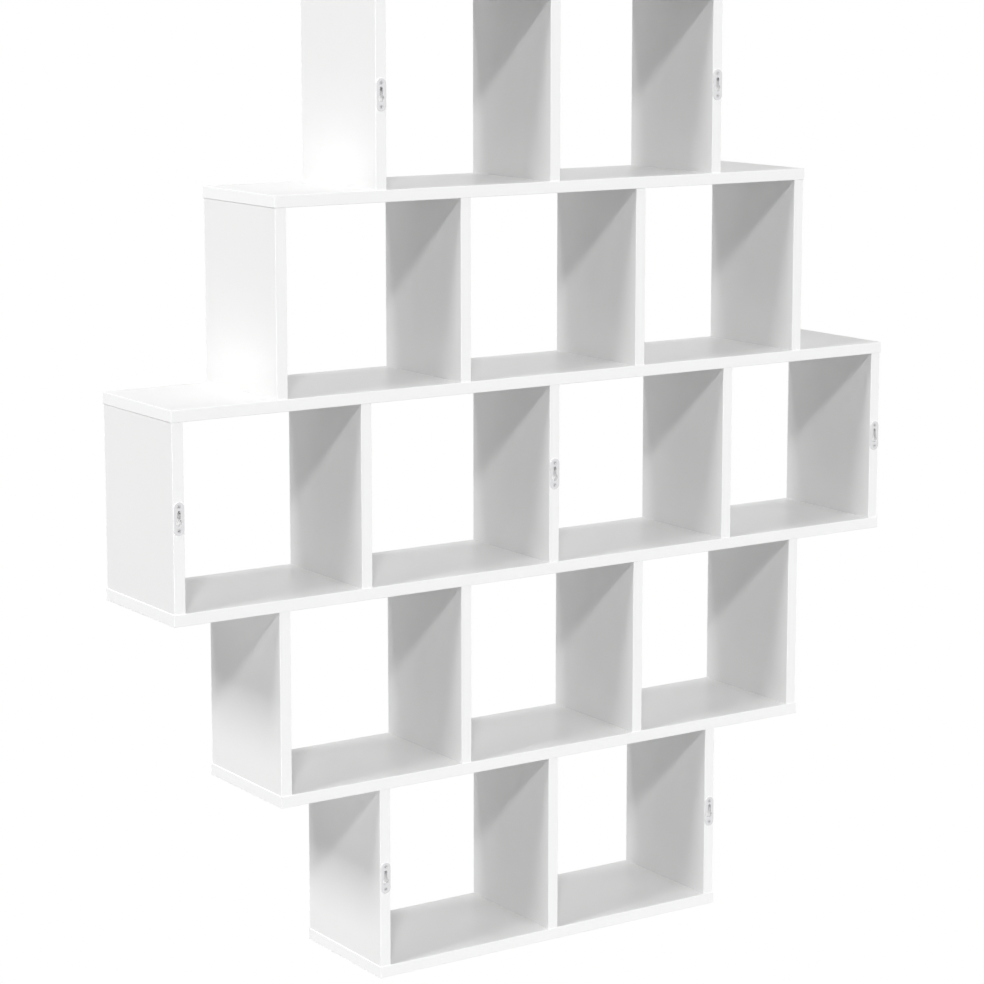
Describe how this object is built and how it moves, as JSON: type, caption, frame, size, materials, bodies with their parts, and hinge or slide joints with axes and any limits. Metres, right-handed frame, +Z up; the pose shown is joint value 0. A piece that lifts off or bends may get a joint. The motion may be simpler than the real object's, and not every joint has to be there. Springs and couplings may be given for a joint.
{
  "type": "wall shelf",
  "caption": "Stepped diamond-shaped wall shelf with open rectangular cells between through boards and uprights, hung from keyhole plates on its rear edges.",
  "frame": {"origin": "middle of the shelf on the wall plane, at the middle of the centre hanger plate", "axes": "+X to the right seen from the front, +Y towards the wall, +Z up; the front faces -Y"},
  "size_m": [1.097, 0.18, 1.2412],
  "materials": {
    "white_board": "white melamine-faced particleboard, satin",
    "white_edge_band": "white edge band, satin",
    "zinc_plate": "zinc-plated, pale grey",
    "screw_steel": "zinc-plated",
    "beech_dowel": "bare beech",
    "white_cap": "white moulded plastic"
  },
  "bodies": {
    "root": {"top_board": "white_board", "top_board_edge_bands": "white_edge_band", "upper_board": "white_board", "upper_board_edge_bands": "white_edge_band", "upper_board_connecting_screws": "screw_steel", "upper_board_screw_caps": "white_cap", "upper_middle_board": "white_board", "upper_middle_board_edge_bands": "white_edge_band", "upper_middle_board_connecting_screws": "screw_steel", "upper_middle_board_screw_caps": "white_cap", "lower_middle_board": "white_board", "lower_middle_board_edge_bands": "white_edge_band", "lower_middle_board_connecting_screws": "screw_steel", "lower_middle_board_screw_caps": "white_cap", "lower_board": "white_board", "lower_board_edge_bands": "white_edge_band", "lower_board_connecting_screws": "screw_steel", "lower_board_screw_caps": "white_cap", "bottom_board": "white_board", "bottom_board_edge_bands": "white_edge_band", "bottom_board_connecting_screws": "screw_steel", "bottom_board_screw_caps": "white_cap", "row_1_upright_left": "white_board", "row_1_upright_centre": "white_board", "row_1_upright_right": "white_board", "row_1_hanger_left": "zinc_plate", "row_1_hanger_right": "zinc_plate", "row_1_upright_edge_bands": "white_edge_band", "row_1_dowels": "beech_dowel", "row_2_upright_outer_left": "white_board", "row_2_upright_inner_left": "white_board", "row_2_upright_inner_right": "white_board", "row_2_upright_outer_right": "white_board", "row_2_upright_edge_bands": "white_edge_band", "row_2_dowels": "beech_dowel", "row_3_upright_outer_left": "white_board", "row_3_upright_inner_left": "white_board", "row_3_upright_centre": "white_board", "row_3_upright_inner_right": "white_board", "row_3_upright_outer_right": "white_board", "row_3_hanger_outer_left": "zinc_plate", "row_3_hanger_centre": "zinc_plate", "row_3_hanger_outer_right": "zinc_plate", "row_3_upright_edge_bands": "white_edge_band", "row_3_dowels": "beech_dowel", "row_4_upright_outer_left": "white_board", "row_4_upright_inner_left": "white_board", "row_4_upright_inner_right": "white_board", "row_4_upright_outer_right": "white_board", "row_4_upright_edge_bands": "white_edge_band", "row_4_dowels": "beech_dowel", "row_5_upright_left": "white_board", "row_5_upright_centre": "white_board", "row_5_upright_right": "white_board", "row_5_hanger_left": "zinc_plate", "row_5_hanger_right": "zinc_plate", "row_5_upright_edge_bands": "white_edge_band", "row_5_dowels": "beech_dowel", "hanger_screws": "screw_steel"}
  },
  "joints": []
}
